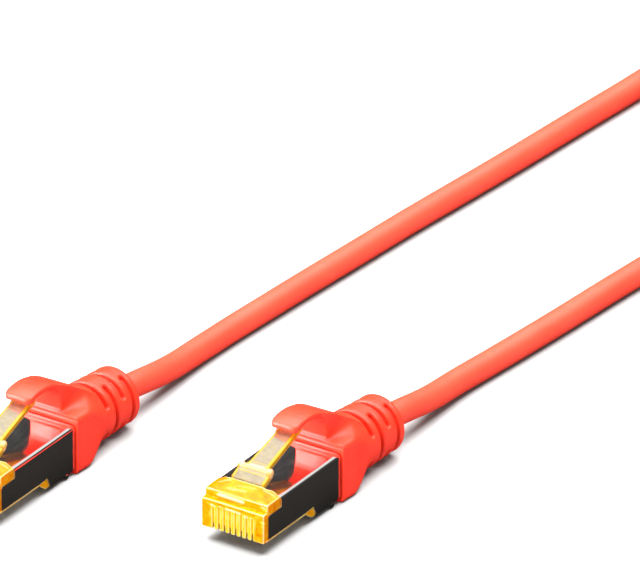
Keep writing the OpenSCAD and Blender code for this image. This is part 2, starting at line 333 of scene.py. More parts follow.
def nets(fun, ax, relax=2):
    """Quads on the zero surface of fun, with every vertex moved onto it; ax holds the three grid axes."""
    h = min(float(np.diff(a).min()) for a in ax)
    grid = np.meshgrid(*ax, indexing="ij")
    F = fun(*grid)
    n = np.array(F.shape)
    num = np.zeros(n - 1)
    pos = np.zeros((*(n - 1), 3))
    cross = []
    for d in range(3):
        lo_s = tuple(slice(0, -1) if i == d else slice(None) for i in range(3))
        hi_s = tuple(slice(1, None) if i == d else slice(None) for i in range(3))
        a, b = F[lo_s], F[hi_s]
        c = (a < 0) != (b < 0)
        t = np.where(c, a / np.where(c, a - b, 1), 0)
        cross.append((c, a < 0))
        o = [i for i in range(3) if i != d]
        for u in (0, 1):
            for v in (0, 1):
                sl = [slice(None)] * 3
                sl[o[0]] = slice(u, u + n[o[0]] - 1)
                sl[o[1]] = slice(v, v + n[o[1]] - 1)
                sl = tuple(sl)
                cc = c[sl]
                num += cc
                pos[..., d] += t[sl]
                pos[..., o[0]] += cc * u
                pos[..., o[1]] += cc * v
    cells = np.argwhere(num > 0)
    index = np.full(n - 1, -1)
    index[tuple(cells.T)] = np.arange(len(cells))
    frac = pos[tuple(cells.T)] / num[tuple(cells.T)][:, None]
    P = np.stack([ax[d][cells[:, d]] + frac[:, d] * (ax[d][cells[:, d] + 1] - ax[d][cells[:, d]]) for d in range(3)], 1)
    quads = []
    for d in range(3):
        c, neg = cross[d]
        o = [(d + 1) % 3, (d + 2) % 3]
        e = np.argwhere(c)
        ok = np.all([(e[:, k] >= 1) & (e[:, k] <= n[k] - 2) for k in o], axis=0)
        e = e[ok]
        q = []
        for du, dv in ((-1, -1), (0, -1), (0, 0), (-1, 0)):
            s = e.copy()
            s[:, o[0]] += du
            s[:, o[1]] += dv
            q.append(index[tuple(s.T)])
        q = np.stack(q, 1)
        flip = ~neg[tuple(e.T)]
        q[flip] = q[flip][:, ::-1]
        quads.append(q)
    Q = np.concatenate(quads)

    def project(P, times):
        e = 1e-3
        for _ in range(times):
            f = fun(P[:, 0], P[:, 1], P[:, 2])
            g = np.stack([(fun(*(P + e * np.eye(3)[i]).T) - fun(*(P - e * np.eye(3)[i]).T)) / (2 * e) for i in range(3)], 1)
            step = (f / np.maximum((g * g).sum(1), 0.05))[:, None] * g
            size = np.linalg.norm(step, axis=1, keepdims=True)
            P = P - step * np.minimum(1, 0.5 * h / np.maximum(size, 1e-9))
        return P

    P = project(P, 3)
    a, b = np.concatenate([Q[:, [0, 1]], Q[:, [1, 2]], Q[:, [2, 3]], Q[:, [3, 0]]]).T
    for _ in range(relax):
        s = np.zeros_like(P)
        k = np.zeros(len(P))
        np.add.at(s, a, P[b])
        np.add.at(k, a, 1)
        np.add.at(s, b, P[a])
        np.add.at(k, b, 1)
        P = project(P + 0.4 * (s / np.maximum(k, 1)[:, None] - P), 2)
    return P, Q


# ---------------------------------------------------------------- boot and hood
HOOD_PROFILE = [
    (13.86, 12.1), (13.88, 12.4), (14.1, 12.8), (14.5, 13.1), (15.1, 13.3), (16, 13.45), (17.2, 13.48),
    (18.4, 13.38), (19.7, 13.1), (20.9, 12.72), (22.2, 12.12), (23.5, 11.5), (24.8, 10.78), (26.1, 9.98),
    (27.4, 9.12), (28.8, 8.1), (30.2, 6.95), (31.6, 5.7), (32.6, 4.6), (32.6, 3), (21.9, 3), (21.9, 9.4), (21.85, 10.2),
    (21.6, 10.9), (21.0, 11.5), (20.0, 12.05), (18.6, 12.45), (17, 12.62), (15.9, 12.6), (15.2, 12.42),
    (14.8, 12.12), (14.55, 11.92), (14.15, 11.9)]
SLEEVE_END = 17.15


def boot_field(x, y, z):
    # bent axis
    yc = -np.tan(BEND) * np.maximum(x - BEND_X, 0)
    s = (x - BEND_X) * math.cos(BEND) - y * math.sin(BEND)
    t = (x - BEND_X) * math.sin(BEND) + y * math.cos(BEND)
    # square front that turns into the round sleeve
    k = sstep(x, 24.2, 31.0)
    kw = sstep(x, 23.8, 31.2)
    hy = mix(6.36, 5.1, kw)
    zt, zb = mix(7.6, AXIS_Z + 5.1, k), -2.25 + 0 * x
    r = mix(0.9, 4.9, k)
    shell = rbox2(y - yc, z - (zt + zb) / 2, hy, (zt - zb) / 2, np.minimum(r, hy - 0.02))
    sleeve_r = mix(5.12, 4.86, sstep(s, 8.0, 16.75))
    rho = np.sqrt(t * t + (z - AXIS_Z) ** 2)
    sleeve = smax(rho - sleeve_r, -2.25 - z, 0.5)
    body = mix(shell, sleeve, sstep(x, 29.2, 31.2))
    # the raised back and the hood in one profile
    crown = 0.05 * y * y * sstep(x, 24, 13)
    ridge2 = polygon_sdf(x, z + crown - 0.1, HOOD_PROFILE)
    w = mix(2.5, 2.95, sstep(x, 20.8, 22.0)) + 0.3 * sstep(x, 25, 30)
    tipr = 1.25
    tip = np.where(x < 13.86 + tipr, np.sqrt(np.maximum(13.86 + tipr - x, 0) ** 2 + np.maximum(np.abs(y) - (w - tipr), 0) ** 2) - tipr, np.abs(y) - w)
    tip = np.where((x < 13.86 + tipr) & (np.abs(y) < w - tipr), 13.86 - x, tip)
    ridge = smax(ridge2, tip, 0.34)
    kk = mix(0.75, 2.3, sstep(x, 22.2, 26.0)) - 1.1 * sstep(x, 27.5, 30.5)
    rear = smin(body, ridge, kk)
    step = 21.35 + 0.16 * sstep(z, 6.9, 7.0)
    rear = smax(rear, step - x, 0.22)
    f = smin(rear, ridge, 0.05)
    # round end
    f = smax(f, s - SLEEVE_END, 0.75)
    # cross grooves
    phi = np.arctan2(t, z - AXIS_Z)
    for i, sg in enumerate((9.2, 11.3, 13.4, 15.5)):
        if i % 2 == 0:
            dev = np.minimum(np.abs(phi), math.pi - np.abs(phi))
        else:
            dev = np.abs(np.abs(phi) - math.pi / 2)
        arc = np.maximum(dev - math.radians(60), 0) * 4.6
        g = np.sqrt((s - sg) ** 2 + arc**2) - 0.42
        g = smax(g, 4.05 - rho, 0.25)
        f = smax(f, -g, 0.5)
    # socket for the plug, and the way out for the cord
    socket = np.maximum(rbox2(y, z - 2.345, 5.87, 3.93, 0.5), x - 23.4)
    f = np.maximum(f, -socket)
    way = np.maximum(rho - 2.12, 12 - s)
    f = smax(f, -way, 0.2)
    return f


def boot_mesh():
    h = 0.16
    return nets(boot_field, [np.arange(a, b + h, h) for a, b in ((13.2, 40.4), (-7.2, 7.0), (-2.9, 14.2))])


BOOT_P, BOOT_Q = boot_mesh()
print("boot", len(BOOT_P), len(BOOT_Q))
for end in "ab":
    ob = mesh_from("boot_and_hood_" + end, at_end(BOOT_P, end), BOOT_Q)
    ob.data.materials.append(M_BOOT)
    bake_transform(ob)
    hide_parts("boot_" + end, "latch_hood_" + end)

cord.data.materials.append(M_JACKET)
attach(cord, ROOT)
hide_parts("cord_lead_a", "cord_lead_b", "cord_coil")

# ---------------------------------------------------------------- plug meshes
def capsule(x, y, z, p, q, r):
    p, q = np.array(p, float), np.array(q, float)
    d = q - p
    t = np.clip(((x - p[0]) * d[0] + (y - p[1]) * d[1] + (z - p[2]) * d[2]) / max(d @ d, 1e-9), 0, 1)
    return np.sqrt((x - p[0] - t * d[0]) ** 2 + (y - p[1] - t * d[1]) ** 2 + (z - p[2] - t * d[2]) ** 2) - r


def rbox3(x, y, z, lo, hi, r):
    c = [(a + b) / 2 for a, b in zip(lo, hi)]
    q = [np.abs(v - m) - ((b - a) / 2 - r) for v, m, a, b in zip((x, y, z), c, lo, hi)]
    out = np.sqrt(sum(np.maximum(v, 0) ** 2 for v in q))
    return out + np.minimum(np.maximum(np.maximum(q[0], q[1]), q[2]), 0) - r


def axis_of(*parts):
    """A grid axis from (start, end, step) stretches."""
    out = [np.arange(a, b - 1e-6, h) for a, b, h in parts]
    return np.unique(np.round(np.concatenate(out + [[parts[-1][1]]]), 5))


RAMP = [(11.1, 0.02), (11.55, 0.02), (13.3, -1.27), (14.42, -1.27), (13.72, 0.5), (11.1, 0.3)]


RELIEF = [(2.15, 5.95), (2.15, 6.25), (2.7, 6.4), (3.3, 6.66), (4.05, 7.0), (4.3, 8.4), (6.8, 8.4), (6.8, 5.95)]


def housing_field(x, y, z):
    ay = np.abs(y)
    front = rbox3(x, y, z, (0, -5.72, 0), (1.8, 5.72, 5.0), 0.2)
    block = rbox3(x, y, z, (1.05, -5.72, 0.4), (4.8, 5.72, 6.25), 0.22)
    f = smin(front, block, 0.16)
    body = rbox3(x, y, z, (1.1, -5.58, 0.0), (23.0, 5.58, 5.98), 0.3)
    foot = rbox3(x, y, z, (0.6, -5.84, 0.0), (11.5, 5.84, 0.42), 0.14)
    f = np.minimum(np.minimum(f, body), foot)
    rp = smax(polygon_sdf(x, z, RAMP), ay - 5.76, 0.1)
    f = smin(f, rp, 0.06)
    rear = rbox3(x, y, z, (13.6, -5.58, -1.28), (23.0, 5.58, 3.0), 0.3)
    f = np.minimum(f, rear)
    # moulded ribs on the front of the block
    f = smin(f, capsule(x, y, z, (1.12, 3.3, 5.66), (1.12, -1.35, 5.66), 0.3), 0.1)
    f = smin(f, capsule(x, y, z, (1.2, 5.1, 6.1), (1.2, 4.2, 6.1), 0.17), 0.06)
    f = smin(f, capsule(x, y, z, (1.2, -4.3, 6.1), (1.2, -5.3, 6.1), 0.17), 0.06)
    # soft waves on the top of the block, where the latch root runs in
    for xa, ya, yb, ra in ((2.0, 2.4, -2.3, 0.16), (2.9, 3.0, -1.6, 0.14), (3.7, 1.2, -3.3, 0.14)):
        f = smin(f, capsule(x, y, z, (xa, ya, 6.17), (xa - 0.25, yb, 6.17), ra), 0.12)
    # the block swells over the latch root, with a relief under it for the latch to flex in
    arch = sstep(ay, 5.97, 2.6)
    rise = 6.2 + 1.22 * arch * np.clip((x - 1.25) / 2.85, 0, 1.2)
    swell = smax(0.85 * (z - rise), 0.9 * (x - 4.78 + 0.64 * sstep(ay, 4.6, 3.3)), 0.16)
    f = smin(f, np.maximum(np.maximum(swell, 1.3 - x), np.maximum(5.9 - z, ay - 5.6)), 0.12)
    relief = np.maximum(polygon_sdf(x, z, RELIEF), ay - 3.13)
    f = smax(f, -relief, 0.1)
    # contact slots, with round tops
    for i in range(8):
        u = y - (i - 3.5) * 1.02
        top = mix(3.84, 3.2, sstep(x, 1.3, 1.7)) - 0.12 * (abs(i - 3.5) > 3)
        g = np.sqrt(u * u + np.maximum(z - top, 0) ** 2) - mix(0.13, 0.215, sstep(x, 0.35, 0.8))
        g = np.maximum(g, x - 5.5)
        f = smax(f, -g, 0.22)
    # a thin wall keeps the upper part of each slot to a shallow flute in the face
    f = smin(f, rbox3(x, y, z, (0.26, -4.3, 1.05), (0.95, 4.3, 4.6), 0.1), 0.14)
    # chamber for the load bar and the wires
    chamber = rbox3(x, y, z, (9.7, -4.6, 0.8), (26.0, 4.6, 4.9), 0.3)
    f = smax(f, -chamber, 0.1)
    return f


LATCH_PROFILE = [(2.3, 6.15), (2.6, 6.25), (3.2, 6.52), (4.0, 6.86), (4.16, 6.9), (4.2, 7.69), (6.75, 8.8), (16.62, 11.76), (16.8, 11.6), (16.9, 11.0), (16.7, 10.88),
                 (7.2, 7.98), (6.9, 7.92), (3.5, 6.4), (2.95, 6.1), (2.6, 6.02), (2.3, 6.1)]


def latch_field(x, y, z):
    ay = np.abs(y)
    prof = polygon_sdf(x, z, LATCH_PROFILE)
    qx, qy = np.abs(x - 4.6) - (2.32 - 0.35), ay - (3.01 - 0.35)
    wide = np.sqrt(np.maximum(qx, 0) ** 2 + np.maximum(qy, 0) ** 2) + np.minimum(np.maximum(qx, qy), 0) - 0.35
    qx, qy = np.abs(x - 11.3) - (5.6 - 0.15), ay - (1.87 - 0.028 * np.clip(x - 7.0, 0, 9.6) - 0.15)
    tail = np.sqrt(np.maximum(qx, 0) ** 2 + np.maximum(qy, 0) ** 2) + np.minimum(np.maximum(qx, qy), 0) - 0.15
    f = smax(prof, smin(wide, tail, 1.0), 0.2)
    # raised bar across the shoulders, with a knob at each end
    bar = capsule(x, y, z, (6.25, 2.55, 8.52), (6.25, -2.55, 8.52), 0.42)
    f = smin(f, bar, 0.16)
    for sy in (-1, 1):
        f = smin(f, capsule(x, y, z, (6.2, 2.7 * sy, 8.55), (6.7, 2.52 * sy, 8.66), 0.57 if sy < 0 else 0.46), 0.08)
    # shallow window in the front half and a shallow channel in the tail
    surf = 7.6 + (x - 4.0) * (1.2 / 2.75)
    pane = np.maximum(np.maximum(ay - 2.5, np.abs(x - 4.88) - 0.68), surf - 0.1 - z)
    f = smax(f, -pane, 0.08)
    surf2 = 8.8 + (x - 6.75) * 0.3
    pane = np.maximum(np.maximum(ay - 1.42 + 0.026 * np.clip(x - 7.0, 0, 9.6), np.abs(x - 12.1) - 4.3), surf2 - 0.06 - z)
    f = smax(f, -pane, 0.08)
    return f


def edge_amount(fun, P, d):
    """How sharply the surface turns at each vertex: 0 flat, 1 on a convex edge."""
    lap = -6 * fun(P[:, 0], P[:, 1], P[:, 2])
    for i in range(3):
        for sg in (-1, 1):
            o = P.copy()
            o[:, i] += sg * d
            lap = lap + fun(o[:, 0], o[:, 1], o[:, 2])
    return np.clip(lap / d, 0, 2)


def add_float(ob, name, values):
    at = ob.data.attributes.new(name, "FLOAT", "POINT")
    at.data.foreach_set("value", np.asarray(values, np.float32))


FINE = 0.115
HOUSING_P, HOUSING_Q = nets(housing_field, [
    axis_of((-0.3, 6.2, FINE), (6.2, 11.0, 0.3), (11.0, 14.8, 0.16), (14.8, 23.4, 0.4)),
    np.arange(-6.1, 6.1 + FINE, FINE), np.arange(-1.7, 8.2, FINE)])
LATCH_P, LATCH_Q = nets(latch_field, [axis_of((1.9, 17.3, FINE)), np.arange(-3.4, 3.4 + FINE, FINE), np.arange(5.6, 12.4, FINE)])
# painted highlight: the nose is painted paler along its convex edges, by how sharply the surface turns
HOUSING_PAINTED_HIGHLIGHT = edge_amount(housing_field, HOUSING_P, 0.16)
# painted edges of the latch: deep yellow along its edges and side walls for light running through more plastic, and
# over the root in front of x 4 where it runs into the block; kept off the knobs
LATCH_PAINTED_EDGES = np.maximum(edge_amount(latch_field, LATCH_P, 0.14) * 1.6, 1.3 * sstep(LATCH_P[:, 0], 4.15, 3.7))
near = np.where(LATCH_P[:, 1] < 0, 0.18, 0.06)
wall_at = np.where(LATCH_P[:, 0] > 6.9, 1.37 - 0.028 * np.clip(LATCH_P[:, 0] - 7.0, 0, 9.6), 2.5) - near
side_wall = sstep(np.abs(LATCH_P[:, 1]), wall_at, wall_at + 0.28)
LATCH_PAINTED_EDGES = np.maximum(LATCH_PAINTED_EDGES, 0.9 * side_wall)
knob = np.min([np.linalg.norm(LATCH_P - (6.45, 2.6 * sy, 8.8), axis=1) * (1.0 if sy < 0 else 1.25) for sy in (-1, 1)], axis=0)
LATCH_PAINTED_EDGES *= 1 - 0.9 * np.exp(-((knob / 0.7) ** 2))
# painted highlight: the knobs and the shoulder bar are painted cream-white
LATCH_PAINTED_HIGHLIGHT = np.maximum(0.95 * np.exp(-((knob / 0.8) ** 2)),
                     0.6 * sstep(LATCH_P[:, 0], 5.6, 5.85) * sstep(LATCH_P[:, 0], 7.4, 6.9) * sstep(LATCH_P[:, 2], 8.2, 8.5))


def stroke(P, p, q, r):
    """1 along the line p-q in (y, z), fading over r."""
    ey, ez = q[0] - p[0], q[1] - p[1]
    t = np.clip(((P[:, 1] - p[0]) * ey + (P[:, 2] - p[1]) * ez) / (ey * ey + ez * ez), 0, 1)
    return np.exp(-((P[:, 1] - p[0] - t * ey) ** 2 + (P[:, 2] - p[1] - t * ez) ** 2) / r ** 2)


# painted highlights in the clear nose: pale glints over the slot tops, down the ribs and across the block, added to the
# painted highlight along its edges
HX, HY, HZ = HOUSING_P.T
face = sstep(HX, 0.5, 0.2)
pale = 0
for p, q, r, a in (((3.95, 4.2), (3.3, 4.02), 0.17, 1.5), ((1.15, 4.22), (-1.35, 4.12), 0.19, 1.5), ((-2.25, 3.85), (-2.6, 3.75), 0.26, 1.4),
                   ((-3.3, 3.9), (-3.65, 3.8), 0.14, 1.1), ((2.4, 4.3), (1.9, 4.25), 0.15, 0.8)):
    pale = np.maximum(pale, a * face * stroke(HOUSING_P, p, q, r))
for i in range(9):
    pale = np.maximum(pale, 0.5 * face * stroke(HOUSING_P, ((i - 4) * 1.02, 3.5 - 0.15 * (i % 3)), ((i - 4) * 1.02, 2.1 + 0.3 * (i % 2)), 0.17))
# painted highlight bands across the front of the block
pale = np.maximum(pale, 1.3 * sstep(np.abs(HX - 0.95), 0.5, 0.3) * stroke(HOUSING_P, (3.0, 5.75), (-1.2, 5.62), 0.34))
pale = np.maximum(pale, 1.3 * sstep(np.abs(HX - 1.0), 0.4, 0.25) * stroke(HOUSING_P, (-4.6, 5.75), (-5.3, 5.7), 0.12))
# painted highlight glints on the top of the block
for xa, ya, yb, a in ((2.3, 2.2, -0.8, 0.45), (3.2, 1.0, -1.8, 0.35), (3.4, 4.6, 2.8, 0.5), (3.9, -3.4, -5.0, 0.5)):
    along = np.clip((HY - yb) / (ya - yb), 0, 1)
    d = np.hypot(HX - xa + 0.35 * (along - 0.5), HY - (yb + along * (ya - yb)))
    pale = np.maximum(pale, a * np.exp(-((d / 0.34) ** 2)) * sstep(HZ, 5.6, 6.0))
# painted highlight line along the rear edge of the block top
brim = 4.72 - 0.64 * sstep(np.abs(HY), 4.6, 3.3)
pale = np.maximum(pale, 1.3 * np.exp(-(((HX - brim) / 0.15) ** 2)) * sstep(HZ, 5.9, 6.1))
HOUSING_PAINTED_HIGHLIGHT = np.maximum(HOUSING_PAINTED_HIGHLIGHT, pale)
# painted light: the slot zone on the front of the nose is lit up in the painted-light colour, less at the far right end
slots = sstep(np.abs(HY), 4.5, 3.7) * sstep(HZ, 4.6, 4.1)
HOUSING_PAINTED_LIGHT_AND_SHADE = 0.85 * slots * sstep(HX, 1.2, 0.6) * (1 - 0.5 * sstep(HY, -5.5, -5.65))
# painted shade: negative values darken the top of the block, more towards its sides, with a swirling tone
swirl = np.sin(1.1 * HY + 2.3 * HX + 1.4 * np.sin(1.3 * HX - 0.5 * HY)) * np.sin(0.9 * HY - 1.7 * HX + 0.6)
HOUSING_PAINTED_LIGHT_AND_SHADE -= sstep(HX, 1.1, 1.5) * sstep(HZ, 5.9, 6.1) * (0.52 + 0.24 * swirl + 0.12 * sstep(np.abs(HY - 0.6), 1.5, 4.0))
print("housing", len(HOUSING_P), "latch", len(LATCH_P), "edge", HOUSING_PAINTED_HIGHLIGHT.max(), LATCH_PAINTED_EDGES.max())


# ---- shield: a flat blank that is folded around the housing
HALF_W, PLUG_H, LOW, R_TOP, R_LOW, SHEET = 5.85, 6.25, -1.55, 0.68, 0.5, 0.25


def section(s):
    """Point and outward normal of the folded section, s measured from the middle of the top."""
    flat = HALF_W - R_TOP
    arc1 = R_TOP * math.pi / 2
    side = PLUG_H - LOW - R_TOP - R_LOW
    arc2 = R_LOW * math.pi / 2
    sg = -1 if s < 0 else 1
    s = abs(s)
    if s <= flat:
        y, z = s, PLUG_H
    elif s <= flat + arc1:
        a = (s - flat) / R_TOP
        y, z = flat + R_TOP * math.sin(a), PLUG_H - R_TOP + R_TOP * math.cos(a)
    elif s <= flat + arc1 + side:
        y, z = HALF_W, PLUG_H - R_TOP - (s - flat - arc1)
    elif s <= flat + arc1 + side + arc2:
        a = (s - flat - arc1 - side) / R_LOW
        y, z = HALF_W - R_LOW + R_LOW * math.cos(a), LOW + R_LOW - R_LOW * math.sin(a)
    else:
        y, z = HALF_W - R_LOW - (s - flat - arc1 - side - arc2), LOW
    return sg * y, z


S_FLAT = HALF_W - R_TOP
S_SIDE = S_FLAT + R_TOP * math.pi / 2
S_LOW = S_SIDE + PLUG_H - LOW - R_TOP - R_LOW
S_UNDER = S_LOW + R_LOW * math.pi / 2
S_END = S_UNDER + HALF_W - R_LOW


def s_at(z):
    """Distance along the section at height z of the side."""
    return S_SIDE + (PLUG_H - R_TOP - z)


def arc_pts(c, r, a0, a1, n):
    return [(c[0] + r * math.cos(math.radians(a0 + (a1 - a0) * i / n)), c[1] + r * math.sin(math.radians(a0 + (a1 - a0) * i / n)))
            for i in range(n + 1)]


def shield_blank():
    """Outline of one half in (x, s), from the middle of the top to the seam underneath."""
    zt = s_at(4.48)
    out = [(4.84, 0.0), (4.84, S_FLAT), (4.84, zt - 0.25)]
    out += arc_pts((4.59, zt - 0.25), 0.25, 0, 90, 5)[1:]
    out += [(1.12 + 0.45, zt)]
    out += [(1.57 - 0.45 * math.sin(math.radians(a)), zt + 0.45 - 0.45 * math.cos(math.radians(a))) for a in (18, 36, 54, 72, 90)]
    zb = s_at(0.4)
    out += [(1.12, zb - 0.12), (1.16, zb - 0.03), (1.24, zb), (11.4, zb), (12.6, s_at(0.47)), (13.55, s_at(0.53))]
    out += [(13.72, s_at(0.48)), (13.82, s_at(0.36)), (14.2, s_at(-0.6)), (14.42, S_LOW + 0.02), (14.47, S_UNDER), (14.5, S_END)]
    out += [(22.95, S_END), (22.95, 0.0)]
    return out


def build_shield(end):
    bm = bmesh.new()
    half = shield_blank()
    ring = half + [(x, -s) for x, s in reversed(half) if s > 1e-9]
    # leave out the closing edge on the centre line: the blank is one piece
    vs = [bm.verts.new((x, s, 0)) for x, s in ring]
    bm.faces.new(vs)
    bmesh.ops.triangulate(bm, faces=bm.faces[:])
    cuts = [S_FLAT, S_SIDE, S_LOW, S_UNDER, S_FLAT - 0.04, S_SIDE + 0.04, S_LOW - 0.04, S_UNDER + 0.04]
    cuts += [S_FLAT + (S_SIDE - S_FLAT) * i / 12 for i in range(1, 12)]
    cuts += [S_LOW + (S_UNDER - S_LOW) * i / 12 for i in range(1, 12)]
    for c in cuts:
        for sg in (-1, 1):
            geom = bm.verts[:] + bm.edges[:] + bm.faces[:]
            bmesh.ops.bisect_plane(bm, geom=geom, plane_co=(0, sg * c, 0), plane_no=(0, 1, 0), dist=1e-6)
    for c in np.arange(2.0, 22.9, 1.5):
        geom = bm.verts[:] + bm.edges[:] + bm.faces[:]
        bmesh.ops.bisect_plane(bm, geom=geom, plane_co=(float(c), 0, 0), plane_no=(1, 0, 0), dist=1e-6)
    for v in bm.verts:
        y, z = section(v.co.y)
        v.co = Vector((v.co.x, y, z))
    bmesh.ops.remove_doubles(bm, verts=bm.verts[:], dist=1e-4)
    # nub where the seam is stamped
    bmesh.ops.recalc_face_normals(bm, faces=bm.faces[:])
    top = max(bm.faces, key=lambda f: f.calc_center_median().z)
    top.normal_update()
    if top.normal.z < 0:
        bmesh.ops.reverse_faces(bm, faces=bm.faces[:])
    o = ENDS[end]
    for v in bm.verts:
        v.co = Vector(tuple((np.array(v.co) + o) * MM))
    me = bpy.data.meshes.new("shield_shell_" + end)
    bm.to_mesh(me)
    bm.free()
    ob = link(bpy.data.objects.new("shield_shell_" + end, me))
    so = ob.modifiers.new("sheet", "SOLIDIFY")
    so.thickness = SHEET * MM
    so.offset = -1
    so.use_even_offset = True
    bv = ob.modifiers.new("edge", "BEVEL")
    bv.width = 0.05 * MM
    bv.segments = 2
    bv.limit_method = "ANGLE"
    bv.angle_limit = math.radians(50)
    bpy.context.view_layer.update()
    dg = bpy.context.evaluated_depsgraph_get()
    me2 = bpy.data.meshes.new_from_object(ob.evaluated_get(dg))
    ob.modifiers.clear()
    ob.data = me2
    me2.name = "shield_shell_" + end
    smooth(ob)
    me2.set_sharp_from_angle(angle=math.radians(14))
    # small pressed peg under the edge of the side wall, beside the boot
    bm = bmesh.new()
    bm.from_mesh(me2)
    for sy in (-1, 1):
        peg = bmesh.ops.create_uvsphere(bm, u_segments=24, v_segments=14, radius=MM)["verts"]
        for v in peg:
            for f in v.link_faces:
                f.smooth = True
            v.co = Vector(tuple((np.array(v.co) / MM * (0.5, 0.28, 0.52) + (19.15, sy * 5.66, -1.58) + o) * MM))
    bm.to_mesh(me2)
    bm.free()
    return ob


# ---------------------------------------------------------------- cable tie
TIE_O = np.array([COIL_C[0] + 23.15, COIL_C[1], 0.0])
TIE_HULL = [(-4.18, 2.98), (4.16, 2.98), (2.11, 7.15), (-2.06, 7.15)]


def tie_field(x, y, z):
    ay = np.abs(y)
    strap = np.abs(polygon_sdf(x, z, TIE_HULL) - 2.515) - 0.38
    strap = smax(strap, ay - 2.25, 0.15)
    # fine ribs on the outside of the strap
    ang = np.arctan2(z - 4.9, x)
    strap = strap + 0.05 * (0.5 + 0.5 * np.sin(ang * 34)) * (ay < 1.6) * (polygon_sdf(x, z, TIE_HULL) > 2.515)
    head = rbox3(x, y, z, (-3.0, -3.1, 9.4), (2.2, 3.1, 12.0), 0.45)
    head = smin(head, rbox3(x, y, z, (-4.2, -2.5, 9.3), (-2.4, 2.5, 10.7), 0.4), 0.5)
    slot = rbox3(x, y, z, (-0.75, -2.42, 8.0), (0.75, 2.42, 14.0), 0.12)
    head = smax(head, -slot, 0.12)
    # pawl in the slot
    head = smin(head, rbox3(x, y, z, (-0.8, -1.3, 10.4), (-0.3, 1.3, 11.9), 0.1), 0.05)
    d = np.full(x.shape, 1e9)
    pts = [(0.15, 9.6), (0.2, 11.4), (0.45, 12.8), (1.0, 14.0), (1.75, 15.0)]
    for p, q in zip(pts[:-1], pts[1:]):
        ex, ez = q[0] - p[0], q[1] - p[1]
        t = np.clip(((x - p[0]) * ex + (z - p[1]) * ez) / (ex * ex + ez * ez), 0, 1)
        d = np.minimum(d, np.hypot(x - p[0] - t * ex, z - p[1] - t * ez))
    tail = smax(d - 0.4, ay - mix(2.2, 1.9, sstep(z, 13.0, 15.2)), 0.12)
    tail = tail + 0.09 * (0.5 + 0.5 * np.sin(z * 7.0)) * (ay < 1.5) * (x < 0.2 + 0.11 * (z - 10.0) ** 1.0)
    return np.minimum(smin(strap, head, 0.12), tail)


step = 0.2
TIE_P, TIE_Q = nets(tie_field, [np.arange(-7.6, 7.7, step), np.arange(-3.6, 3.7, step), np.arange(-0.4, 16.0, step)])

# ---------------------------------------------------------------- plug materials
def plastic(name, stops, edge, trans, density, edge_gain, lamp, painted_light=None):
    """Clear amber plastic: colour by flow streaks, with a painted highlight (paler) or a painted deeper colour along
    its edges, painted light and painted shade from a point attribute, absorbing inside.
    """
    m = material(name, stops[1][1], 0.07)
    b = bsdf(m)
    v = coords(m)
    at = nd(m, "Attribute")
    at.attribute_name = "edge"
    e = maprange(m, at.outputs["Fac"], 0.2, edge_gain, 0.0, 1.0)
    flow = noise(m, coords(m, (1.3, 0.7, 1.15), (3.1, 7.7, 1.3)), 1.15, 3, 0.6)
    body = ramp(m, flow, stops)
    # painted light where the attribute is positive, painted shade (dark amber) where it is negative
    if painted_light:
        ag = nd(m, "Attribute")
        ag.attribute_name = "painted_light"
        mg = nd(m, "Mix", data_type="RGBA")
        wire(m, ag.outputs["Fac"], mg.inputs[0])
        wire(m, body, mg.inputs[6])
        mg.inputs[7].default_value = (*painted_light, 1)
        md = nd(m, "Mix", data_type="RGBA")
        wire(m, maprange(m, ag.outputs["Fac"], 0.0, -1.0, 0.0, 1.0), md.inputs[0])
        wire(m, mg.outputs[2], md.inputs[6])
        md.inputs[7].default_value = (0.4, 0.19, 0.0, 1)
        body = md.outputs[2]
    # the edge attribute mixes in the edge colour: a painted highlight or a painted deeper colour along edges
    mx = nd(m, "Mix", data_type="RGBA")
    wire(m, body, mx.inputs[6])
    mx.inputs[7].default_value = (*edge, 1)
    wire(m, e, mx.inputs[0])
    wire(m, mx.outputs[2], b.inputs["Base Color"])
    wire(m, maprange(m, noise(m, v, 0.9, 3), 0.3, 0.7, 0.05, 0.12), b.inputs["Roughness"])
    wire(m, bump(m, noise(m, v, 0.7, 2), 0.3, 0.05), b.inputs["Normal"])
    b.inputs["Transmission Weight"].default_value = trans
    b.inputs["IOR"].default_value = 1.5
    b.inputs["Coat Weight"].default_value = 0.5
    b.inputs["Coat Roughness"].default_value = 0.04
    t = m.node_tree
    out = t.nodes["Material Output"]
    absorb = nd(m, "VolumeAbsorption")
    absorb.inputs["Color"].default_value = (1.0, 0.76, 0.0, 1)
    absorb.inputs["Density"].default_value = density
    wire(m, absorb.outputs[0], out.inputs["Volume"])
    lp = nd(m, "LightPath")
    tr = nd(m, "BsdfTransparent")
    tr.inputs["Color"].default_value = (*lamp, 1)
    ms = nd(m, "MixShader")
    wire(m, lp.outputs["Is Shadow Ray"], ms.inputs[0])
    wire(m, b.outputs[0], ms.inputs[1])
    wire(m, tr.outputs[0], ms.inputs[2])
    wire(m, ms.outputs[0], out.inputs["Surface"])
    return m


def metal(name, color, dark, rough, scale, brushed=(1, 1, 1)):
    m = material(name, color, rough, 1.0)
    b = bsdf(m)
    v = coords(m)
    vb = coords(m, brushed)
    cloud = noise(m, v, 0.25 * scale, 4)
    wire(m, ramp(m, cloud, [(0.3, dark), (0.65, color)]), b.inputs["Base Color"])
    wire(m, maprange(m, noise(m, vb, 1.6 * scale, 4), 0.3, 0.75, rough * 0.7, rough * 1.6), b.inputs["Roughness"])
    wire(m, bump(m, noise(m, vb, 3.0 * scale, 3), 0.12, 0.004), b.inputs["Normal"])
    return m


